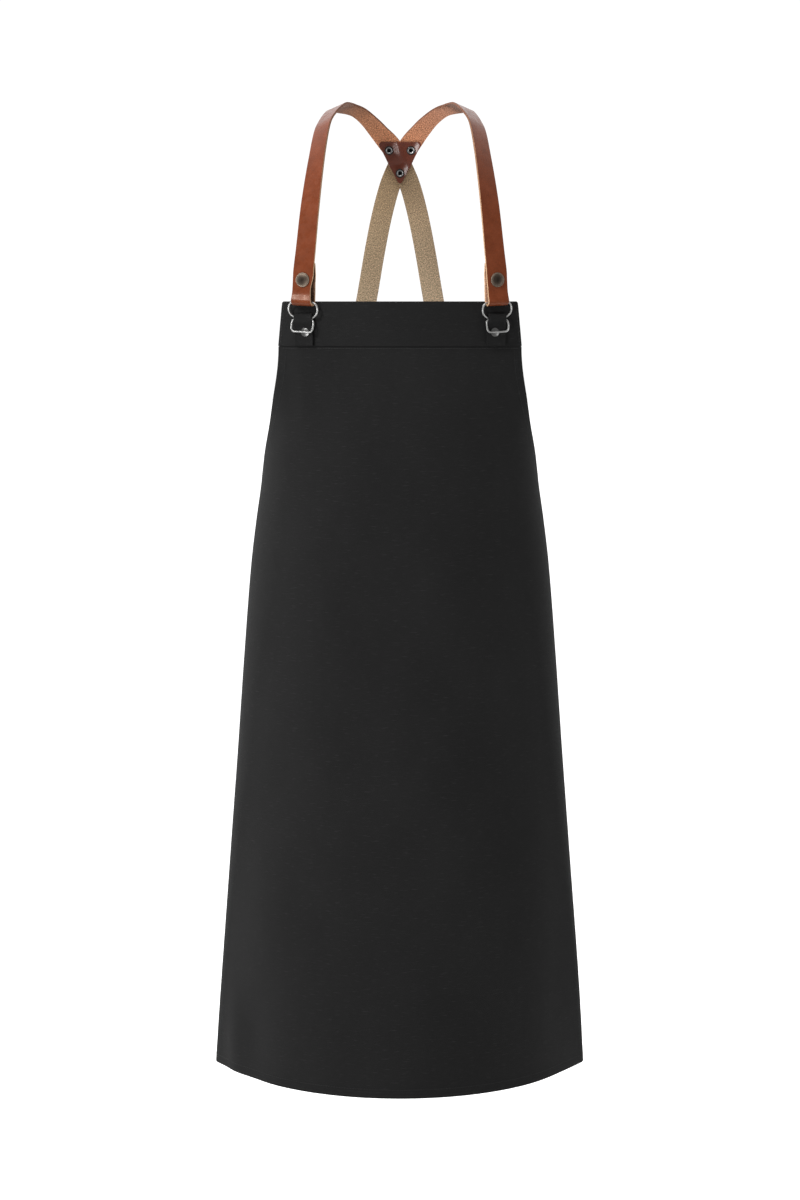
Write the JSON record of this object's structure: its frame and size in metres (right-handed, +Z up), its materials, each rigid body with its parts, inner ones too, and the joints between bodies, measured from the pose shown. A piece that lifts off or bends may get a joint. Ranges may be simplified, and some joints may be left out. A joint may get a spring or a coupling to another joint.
{
  "type": "bib apron",
  "caption": "Long black bib apron in its worn form, hung from leather shoulder straps that cross on the back under a riveted patch, with wire buckles at the bib.",
  "frame": {"origin": "midway between the two shoulder crests of the straps, at the level of their undersides, where the wearer's shoulders carry the apron", "axes": "+Z up along the apron's length, +X to the viewer's right seen from the front, -Y towards the front"},
  "size_m": [0.443, 0.2489, 1.1429],
  "materials": {
    "cloth": "matt black twill",
    "strap_leather": "satin cognac, grain side out",
    "patch_leather": "polished dark brown",
    "steel": "bright nickel",
    "bronze": "dark antique bronze"
  },
  "bodies": {
    "root": {"apron_panel": "cloth", "top_band": "cloth", "tab_left": "cloth", "tab_right": "cloth", "tab_stud_left": "steel", "tab_stud_right": "steel", "buckle_left": "steel", "buckle_right": "steel", "strap_left": "strap_leather", "strap_right": "strap_leather", "snap_left": "bronze", "snap_right": "bronze", "cross_patch": "patch_leather", "cross_rivet_left": "steel", "cross_rivet_right": "steel", "cross_rivet_lower": "steel", "side_rivet_left": "steel", "side_rivet_right": "steel"}
  },
  "joints": []
}
